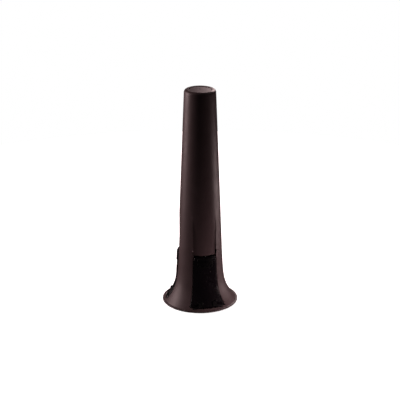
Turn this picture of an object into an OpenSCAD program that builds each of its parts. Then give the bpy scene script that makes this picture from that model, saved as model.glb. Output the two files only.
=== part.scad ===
// In-bell trumpet stand: a hollow flared cone with three legs that fold into windows in its foot.
// The origin is the centre of the circle that the stand rests on, +Z is up, sizes are millimetres.

/* [Cone] */
// Overall height, floor to top
stand_h = 170; // [140:1:220]
// Diameter of the closed top, over its rounded shoulder
top_d = 24.2; // [21:0.1:28]
// Diameter that the straight taper alone would have at the floor
foot_d = 37.4; // [36:0.1:42]
// Diameter of the rim
rim_d = 58.4; // [56:0.1:66]
// Height over which the foot flares out
flare_h = 9.5; // [8:0.1:11]
// How abruptly the flare leaves the taper
flare_power = 1.25; // [1.1:0.01:1.4]
// Wall of the shaft
wall = 2.2; // [1.9:0.1:2.6]
// Wall of the closed top
top_wall = 3; // [2.4:0.1:4]
// Radius of the shoulder round the top
shoulder_r = 2.4; // [1:0.1:2.8]
// Width of the flat underside of the rim
rim_land = 4.2; // [4:0.1:5]
// Height of the rim's outer edge above the floor
rim_t = 1.9; // [1.6:0.1:2.2]

/* [Leg windows] */
// Number of legs, and of windows
leg_count = 3; // [3:1:3]
// Angle that each window takes out of the foot
window_angle = 65; // [62:0.5:68]
// Height of the window's sill
sill_z = 3.05; // [2.95:0.05:3.2]
// Height of the window's top edge
window_top = 42.4; // [38:0.1:52]
// Width of the thumb recess above each window
recess_w = 17.8; // [12:0.1:18]
// Depth of the thumb recess where it meets the window
recess_depth = 1.2; // [0.6:0.05:1.3]

/* [Legs] */
// Thickness of a leg's curved skin
leg_t = 2.6; // [2.2:0.1:3]
// Gap between a leg and the sides of its window
side_gap = 0.5; // [0.4:0.05:0.8]
// Gap between a leg's tip and the top of its window
tip_gap = 0.7; // [0.6:0.05:1.2]
// How far the outer half of a leg stands proud of the cone
leg_proud = 0.5; // [0:0.05:0.6]
// Radius of the leg's top corners
tip_corner_r = 2.6; // [1.5:0.1:3]
// Width of each stiffening rib behind a leg
rib_w = 1.4; // [1:0.1:1.8]
// Distance between the two stiffening ribs
rib_pitch = 10.4; // [9:0.1:11]

/* [Foot pads] */
// Width of a pad
pad_w = 12.4; // [10:0.1:13]
// Length of a pad
pad_len = 7.6; // [6:0.1:9]
// How far a pad stands out of its leg
pad_proud = 0.4; // [0.2:0.05:0.4]
// Width of the grooves across a pad
tread_w = 0.7; // [0.5:0.05:0.9]

/* [Hinges] */
// Depth of each hinge pin's axis behind the flare's face
pin_cover = 2.17; // [2.1:0.01:2.25]
// Height of the hinge pins
pin_z = 4.8; // [4.7:0.05:4.9]
// Diameter of a hinge pin
pin_d = 2; // [1.6:0.1:2.2]
// Radius of a leg's rolled root round its pin
root_r = 2.7; // [2.6:0.05:2.75]
// Width of the middle knuckle
knuckle_w = 7.5; // [6:0.1:8]
// Thickness of a bracket ear
ear_t = 2.8; // [2.2:0.1:3]
// Thickness of a friction washer
washer_t = 0.35; // [0.25:0.05:0.5]
// Thickness of the ledge that carries the brackets
ledge_t = 1.1; // [1:0.05:1.15]
// Thickness of a bracket's base
bracket_t = 2.9; // [2.6:0.1:3.1]
// Diameter of the bracket screws
screw_d = 2; // [1.6:0.1:2.2]
// Distance between the two screws of a bracket
screw_pitch = 9; // [8:0.1:9.5]

/* [Floor ring] */
// Width of the soft ring under the rim
ring_w = 2.2; // [1.6:0.1:2.4]
// Height of the soft ring
ring_t = 1.3; // [1.1:0.05:1.3]
// How far the soft ring stands out below the rim
ring_out = 0.5; // [0.4:0.05:0.6]

/* [Top cap] */
// Diameter of the cap let into the top
cap_d = 16.4; // [13:0.1:17]
// Thickness of the cap's head
cap_t = 1.4; // [1.2:0.1:1.8]
// Depth of the cap's face below the shoulder
cap_drop = 0.3; // [0.1:0.05:0.5]
// Length of the cap's spigot below its head
spigot_len = 5; // [3:0.1:8]

/* [Hidden] */

ROUND = 128;            // facets of the large round forms
SMALL = 48;             // facets of pins, bores and screws
EPS = 0.01;             // overlap that keeps cuts clean
CUT = 1;                // how far a cut starts outside the face that it enters
FAR = 60;               // reach of cutting blocks, past everything

CONE_COLOUR = "#2f2728";
LEG_COLOUR = "#151214";
RUBBER_COLOUR = "#0e0d0d";
STEEL_COLOUR = "#2b2b2c";
NYLON_COLOUR = "#1b1a1b";

// Clearances
seat_gap = 0.3;         // round the soft ring, the cap and the rolled roots
pad_gap = 0.1;          // round a pad in its leg
run_gap = 0.05;         // between a pin or a screw and its bore
press_gap = 0.02;       // between a pin and the ears that hold it
face_gap = 0.05;        // between flat faces that slide

// Cone
top_r = top_d / 2;
foot_r = foot_d / 2;
rim_r = rim_d / 2;
shoulder_z = stand_h - shoulder_r;
taper = (foot_r - top_r) / shoulder_z;
rim_fillet = 0.5;
rim_chamfer = 0.4;
flare_top = 4.4 * flare_h;
flare_steps = 26;
flare_crowding = 1.6;
arc_steps = 6;

function flare(z) = exp(-pow(max(z, 0) / flare_h, flare_power));
function outer_r(z) = foot_r - taper * z + (rim_r - foot_r) * flare(z);
function inner_r(z) = foot_r - wall - taper * z + (rim_r - rim_land - foot_r + wall) * flare(z);
// Heights crowd towards the rim, where the flare bends most.
function flare_z(i) = rim_t + (flare_top - rim_t) * pow(i / flare_steps, flare_crowding);
function ease(t) = let (c = min(max(t, 0), 1)) c * c * (3 - 2 * c);

// Windows
half_angle = window_angle / 2;
pitch_angle = 360 / leg_count;
first_angle = -90;
recess_floor_r = outer_r(window_top) - recess_depth;

// Legs
leg_top = window_top - tip_gap;
leg_bottom = sill_z + side_gap;
proud_z0 = 0.36 * window_top;
proud_z1 = 0.66 * window_top;
function leg_r(z) = outer_r(z) + leg_proud * ease((z - proud_z0) / (proud_z1 - proud_z0));
tip_half_w = outer_r(leg_top) * sin(half_angle) - side_gap;
rib_depth = 2;
rib_foot_gap = 1;
rib_in = leg_r(leg_top) - leg_t - rib_depth;
rib_bottom = pin_z + root_r + rib_foot_gap;
tip_block_in = rib_in + 1.5;
tip_block_half_w = tip_half_w - 1.2;

// Foot pads
pad_inset = 0.9;
pad_t = 1.7;
pad_top = leg_top - pad_inset;
pad_bottom = pad_top - pad_len;
pad_seat = leg_r((pad_top + pad_bottom) / 2) - pad_t;
pad_corner_r = 1.5;
tread_depth = 0.35;
tread_count = 3;
tip_block_z = pad_bottom - 1.6;

// Hinges
pin_r = outer_r(pin_z) - pin_cover;
pin_bore_r = pin_d / 2 + run_gap;
knuckle_half = knuckle_w / 2;
ear_in = knuckle_half + washer_t + 2 * face_gap;
ear_out = ear_in + ear_t;
ear_r = root_r - 0.3;
ear_toe = 0.8;
ear_brow = 0.4;
ear_back = 0.6;
root_end_gap = 2;
root_half_w = (pin_r - root_r) * tan(half_angle) - root_end_gap;
seat_r = root_r + seat_gap;
sill_r = outer_r(sill_z);
sill_fall = 0.36;
fall_in = pin_r + 1;
ledge_z = ring_out + 0.1;
ledge_top = ledge_z + ledge_t;
base_len = 3.6;
base_gap = 0.4;
base_out = pin_r - root_r - base_gap;
base_in = base_out - base_len;
base_top = ledge_top + bracket_t;
ledge_margin = 0.5;
ledge_in = base_in - ledge_margin;
ledge_half_w = ear_out + 1.6;
screw_u = (base_in + base_out) / 2;
screw_head_r = 1.75;
screw_head_h = 0.7 * ledge_t;
screw_bite = 2.3;
screw_len = ledge_t + screw_bite;
screw_tip_room = 0.2;
drive_w = 0.5;
drive_len = 2.2;
drive_depth = 0.5;

// Floor ring
ring_inset = 1.2;
ring_out_r = rim_r - ring_inset;
ring_in_r = ring_out_r - ring_w;

// Top cap
cap_lip = 1.4;
spigot_r = cap_d / 2 - cap_lip;
spigot_wall = 1.2;
gate_r = 0.7;
gate_depth = 0.25;

// Places children at window number i, with +X pointing out of the cone and +Y along the pin.
module at_window(i) {
    rotate([0, 0, first_angle + i * pitch_angle])
        children();
}

module at_each_window() {
    for (i = [0 : leg_count - 1])
        at_window(i)
            children();
}

// A sector of the cone's foot, its sides set in by gap from the sides of the window.
module sector(z0, z1, gap) {
    apex = gap / sin(half_angle);
    translate([apex, 0, z0])
        linear_extrude(height = z1 - z0)
            polygon([[0, 0], [FAR, -FAR * tan(half_angle)], [FAR, FAR * tan(half_angle)]]);
}

// Solid of the cone's outer form, shoulder and rim rounded.
module outer_form() {
    rotate_extrude($fn = ROUND)
        polygon(concat(
            [[0, ring_out], [rim_r - rim_chamfer, ring_out], [rim_r, ring_out + rim_chamfer]],
            [for (i = [0 : arc_steps])
                let (a = 90 * i / arc_steps)
                [rim_r - rim_fillet + rim_fillet * cos(a), rim_t - rim_fillet + rim_fillet * sin(a)]],
            [for (i = [0 : flare_steps]) [outer_r(flare_z(i)), flare_z(i)]],
            [for (i = [0 : arc_steps])
                let (a = 90 * i / arc_steps)
                [top_r - shoulder_r + shoulder_r * cos(a), shoulder_z + shoulder_r * sin(a)]],
            [[0, stand_h]]
        ));
}

// Solid of the hollow inside the cone.
module inner_form() {
    hollow_top = stand_h - top_wall;
    rotate_extrude($fn = ROUND)
        polygon(concat(
            [[0, -CUT], [inner_r(0), -CUT], [inner_r(0), 0]],
            [for (i = [0 : flare_steps]) [inner_r(flare_z(i)), flare_z(i)]],
            [[inner_r(hollow_top), hollow_top], [0, hollow_top]]
        ));
}

// Ledge inside the foot that a hinge bracket is screwed to.
module ledge() {
    translate([ledge_in, -ledge_half_w, ledge_z])
        cube([rim_r - rim_land - ledge_in, 2 * ledge_half_w, ledge_t]);
}

// Shallow recess that runs out upwards, so that a thumb can catch the leg's tip.
module thumb_recess() {
    difference() {
        translate([0, -recess_w / 2, window_top - EPS])
            cube([FAR, recess_w, stand_h]);
        cylinder(r = recess_floor_r, h = 2 * stand_h, $fn = ROUND);
    }
}

// Hollow seat that a leg's rolled root turns in.
module root_seat() {
    translate([pin_r, root_half_w + side_gap, pin_z])
        rotate([90, 0, 0])
            cylinder(r = seat_r, h = 2 * (root_half_w + side_gap), $fn = SMALL);
}

// Slope behind the sill's edge, down to the seat of the rolled root.
module sill_slope() {
    fall_z = sill_z - sill_fall * (sill_r - fall_in);
    edge_z = sill_z + sill_fall * CUT;
    intersection() {
        rotate_extrude($fn = ROUND)
            polygon([[fall_in, fall_z], [sill_r + CUT, edge_z], [fall_in, edge_z]]);
        translate([0, -root_half_w, 0])
            cube([FAR, 2 * root_half_w, window_top]);
    }
}

module countersink() {
    translate([0, 0, ledge_z - EPS])
        cylinder(r1 = screw_head_r + run_gap, r2 = screw_d / 2 + run_gap, h = screw_head_h, $fn = SMALL);
    translate([0, 0, ledge_z - CUT])
        cylinder(r = screw_d / 2 + run_gap, h = ledge_t + 2 * CUT, $fn = SMALL);
}

module at_screws() {
    for (side = [-1, 1])
        translate([screw_u, side * screw_pitch / 2, 0])
            children();
}

module cone_body() {
    color(CONE_COLOUR)
        difference() {
            union() {
                difference() {
                    outer_form();
                    inner_form();
                }
                at_each_window()
                    ledge();
            }
            at_each_window() {
                sector(sill_z, window_top, 0);
                thumb_recess();
                root_seat();
                sill_slope();
                at_screws()
                    countersink();
            }
            // Groove for the soft ring
            translate([0, 0, -CUT])
                difference() {
                    cylinder(r = ring_out_r + seat_gap, h = CUT + ring_t, $fn = ROUND);
                    translate([0, 0, -CUT])
                        cylinder(r = ring_in_r - seat_gap, h = 3 * CUT + ring_t, $fn = ROUND);
                }
            // Opening and rebate for the cap
            translate([0, 0, stand_h - top_wall - CUT])
                cylinder(r = spigot_r + seat_gap, h = top_wall + 2 * CUT, $fn = ROUND);
            translate([0, 0, stand_h - cap_drop - cap_t])
                cylinder(r = cap_d / 2 + seat_gap, h = cap_t + cap_drop + CUT, $fn = ROUND);
        }
}

module top_cap() {
    face_z = stand_h - cap_drop;
    color(CONE_COLOUR)
        difference() {
            union() {
                translate([0, 0, face_z - cap_t])
                    cylinder(r = cap_d / 2, h = cap_t, $fn = ROUND);
                translate([0, 0, face_z - cap_t - spigot_len])
                    cylinder(r = spigot_r, h = spigot_len + EPS, $fn = ROUND);
            }
            translate([0, 0, face_z - cap_t - spigot_len - EPS])
                cylinder(r = spigot_r - spigot_wall, h = spigot_len, $fn = ROUND);
            // Mark left by the moulding gate
            translate([0, 0, face_z - gate_depth])
                cylinder(r = gate_r, h = gate_depth + CUT, $fn = SMALL);
        }
}

module floor_ring() {
    color(RUBBER_COLOUR)
        difference() {
            cylinder(r = ring_out_r, h = ring_t, $fn = ROUND);
            translate([0, 0, -CUT])
                cylinder(r = ring_in_r, h = ring_t + 2 * CUT, $fn = ROUND);
        }
}

// Solid of revolution between the leg's outer face, raised by lift, and the cone's axis.
module leg_form(lift) {
    rotate_extrude($fn = ROUND)
        polygon(concat(
            [[0, 0], [leg_r(0), 0]],
            [for (i = [0 : flare_steps]) [leg_r(flare_z(i)) + lift, flare_z(i)]],
            [[leg_r(window_top) + lift, window_top], [0, window_top]]
        ));
}

// Hollow behind the leg's skin.
module leg_hollow() {
    rotate_extrude($fn = ROUND)
        polygon(concat(
            [[0, -CUT], [leg_r(0) - leg_t, -CUT]],
            [for (i = [0 : flare_steps]) [leg_r(flare_z(i)) - leg_t, flare_z(i)]],
            [[leg_r(window_top) - leg_t, window_top + CUT], [0, window_top + CUT]]
        ));
}

// Outline of a leg seen from outside, its top corners rounded.
module leg_outline() {
    flat_half = tip_half_w - tip_corner_r;
    rotate([90, 0, 90])
        linear_extrude(height = FAR) {
            translate([-FAR / 2, leg_bottom])
                square([FAR, leg_top - tip_corner_r - leg_bottom]);
            translate([-flat_half, leg_top - 2 * tip_corner_r])
                square([2 * flat_half, 2 * tip_corner_r]);
            for (side = [-1, 1])
                translate([side * flat_half, leg_top - tip_corner_r])
                    circle(r = tip_corner_r, $fn = SMALL);
        }
}

// Curved skin of a leg with its thick tip and its two stiffening ribs.
module leg_blade() {
    intersection() {
        leg_form(0);
        sector(0, window_top, side_gap);
        leg_outline();
        union() {
            difference() {
                sector(0, window_top, 0);
                leg_hollow();
            }
            translate([tip_block_in, -tip_block_half_w, tip_block_z])
                cube([FAR, 2 * tip_block_half_w, window_top]);
            for (side = [-1, 1])
                translate([rib_in, side * rib_pitch / 2 - rib_w / 2, rib_bottom])
                    cube([FAR, rib_w, tip_block_z - rib_bottom + CUT]);
        }
    }
}

// Cylinder of radius r along the pin, from -half to half.
module along_pin(r, half) {
    translate([pin_r, half, pin_z])
        rotate([90, 0, 0])
            cylinder(r = r, h = 2 * half, $fn = SMALL);
}

// Rolled root of a leg, trimmed to the flare.
module leg_root() {
    intersection() {
        leg_form(0);
        along_pin(root_r, root_half_w);
        sector(0, window_top, side_gap);
    }
}

// Room for one ear of the bracket, between two knuckles.
module ear_relief(side) {
    y0 = side > 0 ? knuckle_half : -ear_out - seat_gap;
    translate([pin_r, y0 + ear_out + seat_gap - knuckle_half, pin_z])
        rotate([90, 0, 0])
            cylinder(r = root_r + run_gap, h = ear_out + seat_gap - knuckle_half, $fn = SMALL);
}

// Rounded outline of a pad, grown by gap, reaching outwards from its flat seat.
module pad_outline(gap) {
    half = pad_w / 2 + gap;
    r = pad_corner_r + gap;
    translate([pad_seat, 0, 0])
        rotate([90, 0, 90])
            linear_extrude(height = FAR) {
                translate([-half, pad_bottom - gap + r])
                    square([2 * half, pad_len + 2 * (gap - r)]);
                translate([-half + r, pad_bottom - gap])
                    square([2 * (half - r), pad_len + 2 * gap]);
                for (y = [-half + r, half - r], z = [pad_bottom - gap + r, pad_top + gap - r])
                    translate([y, z])
                        circle(r = r, $fn = SMALL);
            }
}

module leg() {
    color(LEG_COLOUR)
        difference() {
            union() {
                // The skin gives way to the rolled root below the pin's height.
                difference() {
                    leg_blade();
                    translate([pin_r, -FAR, -FAR])
                        cube([FAR, 2 * FAR, FAR + pin_z]);
                }
                leg_root();
            }
            along_pin(pin_bore_r, root_half_w + CUT);
            ear_relief(1);
            ear_relief(-1);
            pad_outline(pad_gap);
        }
}

module foot_pad() {
    tread_pitch = pad_len / (tread_count + 1);
    color(RUBBER_COLOUR)
        difference() {
            intersection() {
                leg_form(pad_proud);
                pad_outline(0);
            }
            for (i = [1 : tread_count])
                translate([0, 0, pad_bottom + i * tread_pitch - tread_w / 2])
                    difference() {
                        cylinder(r = FAR, h = tread_w, $fn = ROUND);
                        translate([0, 0, -CUT])
                            cylinder(
                                r = leg_r(pad_bottom + i * tread_pitch) + pad_proud - tread_depth,
                                h = tread_w + 2 * CUT, $fn = ROUND);
                    }
        }
}

module hinge_pin() {
    color(STEEL_COLOUR)
        along_pin(pin_d / 2, ear_out);
}

// One ear of a bracket, reaching out from the base to the pin.
module ear(side) {
    y = side > 0 ? ear_out : -ear_in;
    translate([0, y, 0])
        rotate([90, 0, 0])
            linear_extrude(height = ear_t) {
                polygon([
                    [base_in, ledge_top], [pin_r - ear_toe, ledge_top], [pin_r, pin_z - ear_r],
                    [pin_r, pin_z + ear_brow], [base_out, base_top + ear_back], [base_in, base_top]
                ]);
                translate([pin_r, pin_z])
                    circle(r = ear_r, $fn = SMALL);
            }
}

module hinge_bracket() {
    color(CONE_COLOUR)
        difference() {
            intersection() {
                outer_form();
                union() {
                    translate([base_in, -ear_out, ledge_top])
                        cube([base_out - base_in, 2 * ear_out, bracket_t]);
                    ear(1);
                    ear(-1);
                }
            }
            along_pin(pin_d / 2 + press_gap, ear_out + CUT);
            at_screws()
                translate([0, 0, ledge_top - CUT])
                    cylinder(r = screw_d / 2 + run_gap, h = CUT + screw_bite + screw_tip_room, $fn = SMALL);
        }
}

module friction_washers() {
    color(NYLON_COLOUR)
        for (side = [-1, 1])
            translate([pin_r, side * (knuckle_half + face_gap + washer_t / 2), pin_z])
                rotate([90, 0, 0])
                    difference() {
                        cylinder(r = ear_r, h = washer_t, center = true, $fn = SMALL);
                        cylinder(r = pin_bore_r, h = washer_t + 2 * CUT, center = true, $fn = SMALL);
                    }
}

module bracket_screws() {
    color(STEEL_COLOUR)
        at_screws()
            translate([0, 0, ledge_z])
                difference() {
                    union() {
                        cylinder(r1 = screw_head_r, r2 = screw_d / 2, h = screw_head_h, $fn = SMALL);
                        cylinder(r = screw_d / 2, h = screw_len, $fn = SMALL);
                    }
                    for (a = [0, 90])
                        rotate([0, 0, a])
                            translate([-drive_len / 2, -drive_w / 2, -CUT])
                                cube([drive_len, drive_w, CUT + drive_depth]);
                }
}

cone_body();
top_cap();
floor_ring();
at_window(0) leg();  // leg_a
at_window(1) leg();  // leg_b
at_window(2) leg();  // leg_c
at_window(0) foot_pad();  // foot_pad_a
at_window(1) foot_pad();  // foot_pad_b
at_window(2) foot_pad();  // foot_pad_c
at_window(0) hinge_pin();  // hinge_pin_a
at_window(1) hinge_pin();  // hinge_pin_b
at_window(2) hinge_pin();  // hinge_pin_c
at_window(0) hinge_bracket();  // hinge_bracket_a
at_window(1) hinge_bracket();  // hinge_bracket_b
at_window(2) hinge_bracket();  // hinge_bracket_c
at_window(0) friction_washers();  // friction_washers_a
at_window(1) friction_washers();  // friction_washers_b
at_window(2) friction_washers();  // friction_washers_c
at_window(0) bracket_screws();  // bracket_screws_a
at_window(1) bracket_screws();  // bracket_screws_b
at_window(2) bracket_screws();  // bracket_screws_c
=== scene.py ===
import math

import bmesh
import bpy
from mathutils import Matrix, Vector


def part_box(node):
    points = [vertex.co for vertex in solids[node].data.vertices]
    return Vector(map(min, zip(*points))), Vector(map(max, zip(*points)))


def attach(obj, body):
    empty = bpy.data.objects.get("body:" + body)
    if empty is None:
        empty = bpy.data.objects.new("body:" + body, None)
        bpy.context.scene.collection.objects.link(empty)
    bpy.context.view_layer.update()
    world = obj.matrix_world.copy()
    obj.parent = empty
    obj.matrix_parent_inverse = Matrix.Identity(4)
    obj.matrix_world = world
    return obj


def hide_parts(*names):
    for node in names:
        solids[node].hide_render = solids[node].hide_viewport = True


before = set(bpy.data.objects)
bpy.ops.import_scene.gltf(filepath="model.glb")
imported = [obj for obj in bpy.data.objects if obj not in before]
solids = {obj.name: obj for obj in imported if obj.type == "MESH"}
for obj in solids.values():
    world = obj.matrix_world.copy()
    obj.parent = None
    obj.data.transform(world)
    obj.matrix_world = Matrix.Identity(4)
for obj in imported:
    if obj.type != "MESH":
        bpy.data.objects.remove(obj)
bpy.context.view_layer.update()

# The visible stand: a satin cone, three glossier legs with soft pads, and the hinges under its foot.
# Sizes are metres. MM turns a size given in millimetres into them.

MM = 0.001

# Legs, by letter, with the angle round the cone that each one faces
LEG_FACING = {"a": -90, "b": 30, "c": 150}

# Rounding of moulded and turned edges
CONE_EDGE = 0.14 * MM
LEG_EDGE = 0.12 * MM
SMALL_EDGE = 0.08 * MM
THIN_EDGE = 0.05 * MM
SHARP_ANGLE = math.radians(34)
FLAT_ANGLE = math.radians(0.05)
MERGE_GAP = 0.002 * MM

# Cap in the top
CAP_SIDES = 160
CAP_LIP = 1.4 * MM
CAP_HEAD = 1.4 * MM
CROWN_DROP = 0.06 * MM
CROWN_RISE = 0.28 * MM
CROWN_STEPS = 14
GATE_R = 0.7 * MM
GATE_DEPTH = 0.25 * MM
SPIGOT_WALL = 1.2 * MM

# Soft ring under the rim
RING_SIDES = 192
RING_CORNER = 0.3 * MM
RING_PIPS = 96
PIP_DEPTH = 0.15 * MM
PIP_SHARE = 0.36  # half of a pip's length, as a share of the ring's width
RING_INNER_R = 25.8 * MM

# Soft pads at the tips of the legs
PAD_ROWS = 4
PAD_COLUMNS = 7
PAD_PIP_PITCH = 1.6 * MM
PAD_PIP_SIZE = 0.55 * MM
PAD_PIP_RISE = 0.12 * MM
CAST_FROM = 60 * MM  # radius, outside the stand, that the pips are cast inwards from

# Wear, clouds and smudges of the surfaces
WEAR_FULL = 0.5 * MM
WEAR_GONE = 9 * MM
SPECK_SIZE = 1.6 * MM
CLOUD_SIZE = 14 * MM
SMUDGE_SIZE = 9 * MM

# White room and floor
FLOOR_R = 450 * MM
FLOOR_GLOW = 0.9
ROOM_FILL = 0.02
LAMP_TINT = "#ffe2e2"  # faintly warm

# Camera, square to the stand's axis
CAMERA_ANGLE = math.radians(-104.3)
CAMERA_RISE = math.radians(19.9)
CAMERA_AWAY = 1.0307
CAMERA_AIM = 82.3 * MM
FOCAL_LENGTH = 121.3
SENSOR = 36


# ---- Materials ----

def linear(hex_colour):
    """A colour given as #rrggbb, as linear light with alpha 1."""
    channels = [int(hex_colour[i:i + 2], 16) / 255 for i in (1, 3, 5)]
    light = [c / 12.92 if c <= 0.04045 else ((c + 0.055) / 1.055) ** 2.4 for c in channels]
    return (*light, 1)


def add(tree, kind, inputs=(), **settings):
    """Adds a node with its settings.

    inputs maps its sockets, by name or number, to values, or to the nodes and outputs that feed them. A node
    feeds its first output in use, and a list feeds one socket from several.
    """
    node = tree.nodes.new(kind)
    for name, value in settings.items():
        setattr(node, name, value)
    for socket, value in dict(inputs).items():
        target = next(s for i, s in enumerate(node.inputs) if socket in (i, s.name) and s.enabled)
        for source in value if isinstance(value, list) else [value]:
            if isinstance(source, bpy.types.Node):
                source = next(s for s in source.outputs if s.enabled)
            if isinstance(source, bpy.types.NodeSocket):
                tree.links.new(source, target)
            else:
                target.default_value = source
    return node


def finish_of(name, colour, worn_colour, gloss, grain, wear=0.25, metallic=0.0, specular=0.5, stretch=1.0):
    """A surface with cloudy colour, smudged gloss, a fine grain and wear on what touches the ground.

    gloss is the roughness where clean and where smudged, grain the size and depth of the surface's grain,
    stretch how much longer the grain is upwards than round.
    """
    material = bpy.data.materials.new(name)
    material.use_nodes = True
    tree = material.node_tree
    tree.nodes.clear()
    place = add(tree, "ShaderNodeTexCoord").outputs["Object"]

    # Wear: thickest at the floor, broken up by fine noise
    height = add(tree, "ShaderNodeSeparateXYZ", {"Vector": place}).outputs["Z"]
    near_floor = add(tree, "ShaderNodeMapRange", {
        "Value": height, "From Min": WEAR_FULL, "From Max": WEAR_GONE, "To Min": 1.0, "To Max": 0.15})
    specks = add(tree, "ShaderNodeTexNoise", {"Vector": place, "Scale": 1 / SPECK_SIZE, "Detail": 4})
    scuffs = add(tree, "ShaderNodeMapRange", {"Value": specks, "From Min": 0.5, "From Max": 0.68})
    worn = add(tree, "ShaderNodeMath", {0: scuffs, 1: near_floor}, operation="MULTIPLY")
    share = add(tree, "ShaderNodeMath", {0: worn, 1: wear}, operation="MULTIPLY")

    # Colour: clouds of the worn colour over the clean one, and the wear on top
    clouds = add(tree, "ShaderNodeTexNoise", {"Vector": place, "Scale": 1 / CLOUD_SIZE, "Detail": 3})
    cloudy = add(tree, "ShaderNodeMapRange", {
        "Value": clouds, "From Min": 0.35, "From Max": 0.65, "To Max": 0.35})
    moulded = add(tree, "ShaderNodeMix", {
        "Factor": cloudy, "A": linear(colour), "B": linear(worn_colour)}, data_type="RGBA")
    tint = add(tree, "ShaderNodeMix", {"Factor": share, "A": moulded, "B": linear(worn_colour)}, data_type="RGBA")

    # Gloss: clean and smudged patches
    patches = add(tree, "ShaderNodeTexNoise", {"Vector": place, "Scale": 1 / SMUDGE_SIZE, "Detail": 3})
    smudges = add(tree, "ShaderNodeMapRange", {
        "Value": patches, "From Min": 0.35, "From Max": 0.65, "To Min": gloss[0], "To Max": gloss[1]})

    # Grain
    grain_size, grain_depth = grain
    grain_place = add(tree, "ShaderNodeMapping", {"Vector": place, "Scale": (1, 1, 1 / stretch)})
    grains = add(tree, "ShaderNodeTexNoise", {"Vector": grain_place, "Scale": 1 / grain_size, "Detail": 2})
    bump = add(tree, "ShaderNodeBump", {"Height": grains, "Distance": grain_depth, "Strength": 0.6})

    surface = add(tree, "ShaderNodeBsdfPrincipled", {
        "Base Color": tint, "Roughness": smudges, "Normal": bump, "Metallic": metallic,
        "Specular IOR Level": specular})
    add(tree, "ShaderNodeOutputMaterial", {"Surface": surface})
    return material


# Grains under half a millimetre are drawn at about that size, which is the finest that still shows.
# Satin moulded ABS of the cone: black with a brown cast, and a broad soft sheen
satin_plastic = finish_of(
    "satin_black_plastic", "#382e2f", "#43393a", (0.40, 0.48), (0.5 * MM, 0.02 * MM), wear=0.35, specular=0.16)
# Gloss moulded ABS of the legs: darker, with a tighter shine and fine draw marks upwards
gloss_plastic = finish_of(
    "gloss_black_plastic", "#080508", "#0e0b0d", (0.22, 0.34), (0.5 * MM, 0.003 * MM), wear=0.5, specular=0.3,
    stretch=6)
# Soft moulded rubber of the ring and the pads: dull, and greyer where it rubs on the floor
soft_rubber = finish_of(
    "soft_black_rubber", "#070607", "#151313", (0.5, 0.62), (0.6 * MM, 0.02 * MM), wear=0.6, specular=0.2)
# Blackened steel of the pins and screws, faintly oiled: a dark glint
black_steel = finish_of(
    "oiled_black_steel", "#1b1a1a", "#3a3836", (0.3, 0.42), (0.5 * MM, 0.01 * MM), wear=0.4, metallic=1.0)
# Moulded nylon of the brackets and the friction washers: smooth, even and dull
black_nylon = finish_of(
    "smooth_black_nylon", "#080708", "#121112", (0.5, 0.6), (0.5 * MM, 0.01 * MM), wear=0.2, specular=0.2)


# ---- Pieces made from the solids ----

def placed(name, data):
    """A new object of that name in the scene, at the origin."""
    thing = bpy.data.objects.new(name, data)
    bpy.context.scene.collection.objects.link(thing)
    return thing


def set_smooth(mesh):
    """Smooth faces, with the edges over SHARP_ANGLE kept sharp."""
    mesh.shade_smooth()
    mesh.set_sharp_from_angle(angle=SHARP_ANGLE)


def belongs(piece, body, node=None):
    """The piece moves with that body, and may stand for a node, which is then hidden."""
    if node:
        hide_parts(node)
    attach(piece, body)
    return piece


def baked(obj):
    """Turns what the modifiers make of obj into its own plain mesh."""
    bpy.context.view_layer.update()
    evaluated = obj.evaluated_get(bpy.context.evaluated_depsgraph_get())
    mesh = bpy.data.meshes.new_from_object(evaluated)
    obj.modifiers.clear()
    obj.data = mesh
    return obj


def softened(name, node, edge, material, body):
    """The solid of that name with its outward edges rounded off by edge, and its inner corners left sharp."""
    shape = bmesh.new()
    shape.from_mesh(solids[node].data)
    bmesh.ops.remove_doubles(shape, verts=shape.verts, dist=MERGE_GAP)
    bmesh.ops.dissolve_limit(
        shape, angle_limit=FLAT_ANGLE, verts=shape.verts, edges=shape.edges, delimit={"NORMAL"})
    weight = shape.edges.layers.float.new("bevel_weight_edge")
    for line in shape.edges:
        line[weight] = float(len(line.link_faces) == 2 and line.calc_face_angle_signed() > SHARP_ANGLE)
    mesh = bpy.data.meshes.new(name)
    shape.to_mesh(mesh)
    shape.free()
    if "custom_normal" in mesh.attributes:
        mesh.attributes.remove(mesh.attributes["custom_normal"])
    mesh.materials.clear()
    mesh.materials.append(material)
    piece = placed(name, mesh)
    set_smooth(mesh)
    rounding = piece.modifiers.new("rounded_edges", "BEVEL")
    rounding.width = edge
    rounding.segments = 2
    rounding.limit_method = "WEIGHT"
    rounding.use_clamp_overlap = False
    rounding.loop_slide = False
    rounding.harden_normals = True
    return belongs(baked(piece), body, node)


softened("cone_shell", "cone_body", CONE_EDGE, satin_plastic, "stand")
for letter in LEG_FACING:
    softened(f"swing_leg_{letter}", f"leg_{letter}", LEG_EDGE, gloss_plastic, f"leg_{letter}")
    softened(f"bracket_{letter}", f"hinge_bracket_{letter}", SMALL_EDGE, black_nylon, "stand")
    softened(f"pin_{letter}", f"hinge_pin_{letter}", SMALL_EDGE, black_steel, "stand")
    softened(f"screws_{letter}", f"bracket_screws_{letter}", THIN_EDGE, black_steel, "stand")
    softened(f"washers_{letter}", f"friction_washers_{letter}", THIN_EDGE, black_nylon, "stand")


def arc(centre, radius, start, end, steps):
    """Points of an arc, radius and height, its angles in degrees."""
    turns = [math.radians(start + (end - start) * i / steps) for i in range(steps + 1)]
    return [(centre[0] + radius * math.cos(a), centre[1] + radius * math.sin(a)) for a in turns]


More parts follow.
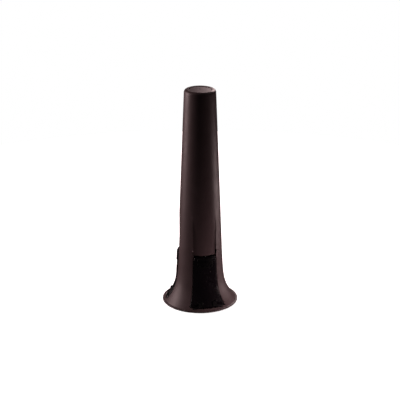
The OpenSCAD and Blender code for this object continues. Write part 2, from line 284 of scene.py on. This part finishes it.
def turned(name, profile, material):
    """A piece turned round the stand's axis; its profile of radius and height starts and ends on the axis."""
    turns = [2 * math.pi * i / CAP_SIDES for i in range(CAP_SIDES)]
    rings = profile[1:-1]
    points = [(radius * math.cos(a), radius * math.sin(a), height) for radius, height in rings for a in turns]
    points += [(0, 0, profile[0][1]), (0, 0, profile[-1][1])]
    first_pole, last_pole = len(points) - 2, len(points) - 1
    last_ring = (len(rings) - 1) * CAP_SIDES
    faces = []
    for i in range(CAP_SIDES):
        after = (i + 1) % CAP_SIDES
        faces.append((first_pole, i, after))
        for ring in range(0, last_ring, CAP_SIDES):
            faces.append((ring + i, ring + CAP_SIDES + i, ring + CAP_SIDES + after, ring + after))
        faces.append((last_ring + i, last_pole, last_ring + after))
    mesh = bpy.data.meshes.new(name)
    mesh.from_pydata(points, [], faces)
    mesh.materials.append(material)
    piece = placed(name, mesh)
    set_smooth(mesh)
    return piece


def closing_cap():
    """The cap let into the top: its face slightly crowned, with the moulding gate's mark in the middle."""
    low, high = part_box("top_cap")
    edge_r, face = high.x, high.z - CROWN_DROP
    spigot_r, head_under = edge_r - CAP_LIP, high.z - CAP_HEAD
    crown_r = (edge_r ** 2 + CROWN_RISE ** 2) / (2 * CROWN_RISE)
    steps = [GATE_R + (edge_r - SMALL_EDGE - GATE_R) * i / CROWN_STEPS for i in range(CROWN_STEPS + 1)]
    crown = [(radius, face + CROWN_RISE - crown_r + math.sqrt(crown_r ** 2 - radius ** 2)) for radius in steps]
    gate_floor = crown[0][1] - GATE_DEPTH
    corner = (edge_r - SMALL_EDGE, crown[-1][1] - SMALL_EDGE)
    profile = [(0, gate_floor), *arc((GATE_R - SMALL_EDGE, gate_floor + SMALL_EDGE), SMALL_EDGE, -90, 0, 3)]
    profile += [*crown, *arc(corner, SMALL_EDGE, 60, 0, 3), (edge_r, head_under), (spigot_r, head_under)]
    bore_r = spigot_r - SPIGOT_WALL
    profile += [(spigot_r, low.z), (bore_r, low.z), (bore_r, head_under), (0, head_under)]
    belongs(turned("closing_cap", profile, satin_plastic), "stand", "top_cap")


closing_cap()


# ---- Pieces made by Geometry Nodes ----

def new_tree(name, sizes, counts=(), takes_mesh=False):
    """A Geometry Nodes tree with named inputs for sizes and counts, its input node and its output node."""
    tree = bpy.data.node_groups.new(name, "GeometryNodeTree")
    sockets = tree.interface
    sockets.new_socket("Geometry", in_out="OUTPUT", socket_type="NodeSocketGeometry")
    if takes_mesh:
        sockets.new_socket("Geometry", in_out="INPUT", socket_type="NodeSocketGeometry")
    for label in sizes:
        sockets.new_socket(label, in_out="INPUT", socket_type="NodeSocketFloat")
    for label in counts:
        sockets.new_socket(label, in_out="INPUT", socket_type="NodeSocketInt")
    sockets.new_socket("Material", in_out="INPUT", socket_type="NodeSocketMaterial")
    return tree, add(tree, "NodeGroupInput"), add(tree, "NodeGroupOutput")


def close_tree(tree, given, result, geometry):
    """Ends the tree with real geometry in the given material."""
    real = add(tree, "GeometryNodeRealizeInstances", {"Geometry": geometry})
    smooth = add(tree, "GeometryNodeSetShadeSmooth", {"Geometry": real})
    painted = add(tree, "GeometryNodeSetMaterial", {"Geometry": smooth, "Material": given.outputs["Material"]})
    tree.links.new(painted.outputs[0], result.inputs["Geometry"])


def made_by(name, tree, values, material, mesh=None):
    """The plain piece that a tree makes with those input values."""
    piece = placed(name, mesh or bpy.data.meshes.new(name))
    maker = piece.modifiers.new(tree.name, "NODES")
    maker.node_group = tree
    values = {**values, "Material": material}
    for item in tree.interface.items_tree:
        if item.in_out == "INPUT" and item.name in values:
            maker[item.identifier] = values[item.name]
    return baked(piece)


def ring_tree():
    """A round-cornered ring that stands on a circle of small pips."""
    tree, given, result = new_tree(
        "grip_ring", ("Middle radius", "Width", "Height", "Corner", "Pip depth"), ("Sides", "Pips"))
    size = given.outputs
    path = add(tree, "GeometryNodeCurvePrimitiveCircle", {
        "Resolution": size["Sides"], "Radius": size["Middle radius"]})
    body_height = add(tree, "ShaderNodeMath", {0: size["Height"], 1: size["Pip depth"]}, operation="SUBTRACT")
    section = add(tree, "GeometryNodeCurvePrimitiveQuadrilateral", {"Width": size["Width"], "Height": body_height})
    rounded = add(tree, "GeometryNodeFilletCurve", {
        "Curve": section, "Radius": size["Corner"], "Count": 3}, mode="POLY")
    swept = add(tree, "GeometryNodeCurveToMesh", {"Curve": path, "Profile Curve": rounded})
    half_height = add(tree, "ShaderNodeMath", {0: body_height, 1: 0.5}, operation="MULTIPLY")
    middle = add(tree, "ShaderNodeMath", {0: size["Pip depth"], 1: half_height})
    body = add(tree, "GeometryNodeTransform", {
        "Geometry": swept, "Translation": add(tree, "ShaderNodeCombineXYZ", {"Z": middle})})

    spots = add(tree, "GeometryNodeMeshCircle", {"Vertices": size["Pips"], "Radius": size["Middle radius"]})
    pip = add(tree, "GeometryNodeMeshUVSphere", {"Segments": 10, "Rings": 6, "Radius": 1.0})
    outwards = add(tree, "FunctionNodeAlignRotationToVector", {
        "Vector": add(tree, "GeometryNodeInputPosition")}, axis="X", pivot_axis="Z")
    length = add(tree, "ShaderNodeMath", {0: size["Width"], 1: PIP_SHARE}, operation="MULTIPLY")
    pip_height = add(tree, "ShaderNodeMath", {0: size["Pip depth"], 1: 2.0}, operation="MULTIPLY")
    pips = add(tree, "GeometryNodeInstanceOnPoints", {
        "Points": spots, "Instance": pip, "Rotation": outwards,
        "Scale": add(tree, "ShaderNodeCombineXYZ", {"X": length, "Y": size["Corner"], "Z": pip_height})})
    lifted = add(tree, "GeometryNodeTransform", {
        "Geometry": pips, "Translation": add(tree, "ShaderNodeCombineXYZ", {"Z": pip_height})})
    close_tree(tree, given, result, add(tree, "GeometryNodeJoinGeometry", {"Geometry": [body, lifted]}))
    return tree


def pad_tree():
    """Rows of pips cast on to the face of a pad, across the bands between its grooves."""
    tree, given, result = new_tree(
        "pad_pips", ("Facing", "Middle height", "Row pitch", "Column pitch", "Start", "Pip size", "Pip rise"),
        ("Rows", "Columns"), takes_mesh=True)
    size = given.outputs
    spans = []
    for count, pitch in (("Rows", "Row pitch"), ("Columns", "Column pitch")):
        steps = add(tree, "ShaderNodeMath", {0: size[count], 1: 1.0}, operation="SUBTRACT")
        spans.append(add(tree, "ShaderNodeMath", {0: steps, 1: size[pitch]}, operation="MULTIPLY"))
    spots = add(tree, "GeometryNodeMeshGrid", {
        "Size X": spans[0], "Size Y": spans[1], "Vertices X": size["Rows"], "Vertices Y": size["Columns"]})
    upright = add(tree, "GeometryNodeTransform", {
        "Geometry": spots, "Rotation": (0, math.pi / 2, 0),
        "Translation": add(tree, "ShaderNodeCombineXYZ", {"X": size["Start"], "Z": size["Middle height"]})})
    turned_round = add(tree, "GeometryNodeTransform", {
        "Geometry": upright, "Rotation": add(tree, "ShaderNodeCombineXYZ", {"Z": size["Facing"]})})
    inwards = []
    for operation in ("COSINE", "SINE"):
        part = add(tree, "ShaderNodeMath", {0: size["Facing"]}, operation=operation)
        inwards.append(add(tree, "ShaderNodeMath", {0: part, 1: -1.0}, operation="MULTIPLY"))
    cast = add(tree, "GeometryNodeRaycast", {
        "Target Geometry": size["Geometry"], "Ray Length": size["Start"],
        "Ray Direction": add(tree, "ShaderNodeCombineXYZ", {"X": inwards[0], "Y": inwards[1]})})
    landed = add(tree, "GeometryNodeSetPosition", {
        "Geometry": turned_round, "Selection": cast.outputs["Is Hit"], "Position": cast.outputs["Hit Position"]})

    pip = add(tree, "GeometryNodeMeshUVSphere", {"Segments": 12, "Rings": 6, "Radius": 1.0})
    outwards = add(tree, "FunctionNodeAlignRotationToVector", {
        "Vector": add(tree, "GeometryNodeInputPosition")}, axis="X", pivot_axis="Z")
    half = add(tree, "ShaderNodeMath", {0: size["Pip size"], 1: 0.5}, operation="MULTIPLY")
    pips = add(tree, "GeometryNodeInstanceOnPoints", {
        "Points": landed, "Instance": pip, "Rotation": outwards,
        "Scale": add(tree, "ShaderNodeCombineXYZ", {"X": size["Pip rise"], "Y": half, "Z": half})})
    close_tree(tree, given, result, pips)
    return tree


ring_low, ring_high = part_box("floor_ring")
grip_ring = made_by("grip_ring", ring_tree(), {
    "Middle radius": (ring_high.x + RING_INNER_R) / 2, "Width": ring_high.x - RING_INNER_R, "Height": ring_high.z,
    "Corner": RING_CORNER, "Pip depth": PIP_DEPTH, "Sides": RING_SIDES, "Pips": RING_PIPS}, soft_rubber)
belongs(grip_ring, "stand", "floor_ring")

tread = pad_tree()
for letter, facing in LEG_FACING.items():
    pad = softened(f"soft_pad_{letter}", f"foot_pad_{letter}", SMALL_EDGE, soft_rubber, f"leg_{letter}")
    pad_low, pad_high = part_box(f"foot_pad_{letter}")
    pips = made_by(f"pad_pips_{letter}", tread, {
        "Facing": math.radians(facing), "Middle height": (pad_low.z + pad_high.z) / 2,
        "Row pitch": (pad_high.z - pad_low.z) / PAD_ROWS, "Column pitch": PAD_PIP_PITCH, "Start": CAST_FROM,
        "Pip size": PAD_PIP_SIZE, "Pip rise": PAD_PIP_RISE, "Rows": PAD_ROWS, "Columns": PAD_COLUMNS},
        soft_rubber, mesh=pad.data.copy())
    belongs(pips, f"leg_{letter}")


# ---- Studio ----

def around(bearing, away, height):
    """A place away from the stand's axis; bearing 0 is the camera's side and 90 the right of it."""
    angle = CAMERA_ANGLE + math.radians(bearing)
    return Vector((away * math.cos(angle), away * math.sin(angle), height))


def soft_box(name, bearing, away, height, width, tall, power, aim, mirrored=True):
    """A soft rectangular light turned towards the axis at the height aim, and mirrored in the gloss or not."""
    lamp = bpy.data.lights.new(name, "AREA")
    lamp.shape = "RECTANGLE"
    lamp.size = width
    lamp.size_y = tall
    lamp.energy = power
    lamp.color = linear(LAMP_TINT)[:3]
    box = placed(name, lamp)
    box.visible_camera = False
    box.visible_glossy = mirrored
    box.location = around(bearing, away, height)
    box.rotation_euler = (Vector((0, 0, aim)) - box.location).to_track_quat("-Z", "Y").to_euler()


soft_box("left", bearing=-102, away=0.55, height=0.22, width=0.28, tall=0.50, power=5.2, aim=110 * MM)
soft_box("right_low", bearing=104, away=0.24, height=0.02, width=0.16, tall=0.06, power=0.27, aim=20 * MM)
soft_box("back_right", bearing=162, away=0.70, height=0.46, width=0.30, tall=0.30, power=4.1, aim=150 * MM)
soft_box(
    "front_low", bearing=46, away=0.11, height=0.006, width=0.07, tall=0.01, power=0.09, aim=10 * MM,
    mirrored=False)
soft_box("overhead", bearing=90, away=0.30, height=0.50, width=0.20, tall=0.20, power=0.25, aim=0)


def white_room():
    """A white backdrop for the eye; the light that it gives is even and weak."""
    world = bpy.data.worlds.new("white_room")
    world.use_nodes = True
    tree = world.node_tree
    tree.nodes.clear()
    backdrop = add(tree, "ShaderNodeBackground", {"Color": (1, 1, 1, 1), "Strength": 1.0})
    fill = add(tree, "ShaderNodeBackground", {"Color": (1, 1, 1, 1), "Strength": ROOM_FILL})
    seen = add(tree, "ShaderNodeLightPath").outputs["Is Camera Ray"]
    mixed = add(tree, "ShaderNodeMixShader", {0: seen, 1: fill, 2: backdrop})
    add(tree, "ShaderNodeOutputWorld", {"Surface": mixed})
    bpy.context.scene.world = world


def pale_floor():
    """A round white table top, its face at the height that the stand rests on."""
    shape = bmesh.new()
    bmesh.ops.create_circle(shape, cap_ends=True, segments=128, radius=FLOOR_R)
    mesh = bpy.data.meshes.new("pale_floor")
    shape.to_mesh(mesh)
    shape.free()
    paint = bpy.data.materials.new("matt_white_paint")
    paint.use_nodes = True
    tree = paint.node_tree
    tree.nodes.clear()
    surface = add(tree, "ShaderNodeBsdfPrincipled", {
        "Base Color": linear("#f6f6f6"), "Roughness": 0.9, "Specular IOR Level": 0.1,
        "Emission Color": linear("#ffffff"), "Emission Strength": FLOOR_GLOW})
    add(tree, "ShaderNodeOutputMaterial", {"Surface": surface})
    mesh.materials.append(paint)
    floor = placed("pale_floor", mesh)
    floor.visible_glossy = False
    floor.visible_diffuse = False


def front_camera():
    """The camera, a little above the stand and turned down to its middle."""
    lens = bpy.data.cameras.new("camera")
    lens.lens = FOCAL_LENGTH
    lens.sensor_width = SENSOR
    camera = placed("camera", lens)
    level, rise = CAMERA_AWAY * math.cos(CAMERA_RISE), CAMERA_AWAY * math.sin(CAMERA_RISE)
    camera.location = around(0, level, CAMERA_AIM + rise)
    camera.rotation_euler = (Vector((0, 0, CAMERA_AIM)) - camera.location).to_track_quat("-Z", "Y").to_euler()
    bpy.context.scene.camera = camera


white_room()
pale_floor()
front_camera()
bpy.context.scene.view_settings.view_transform = "Standard"
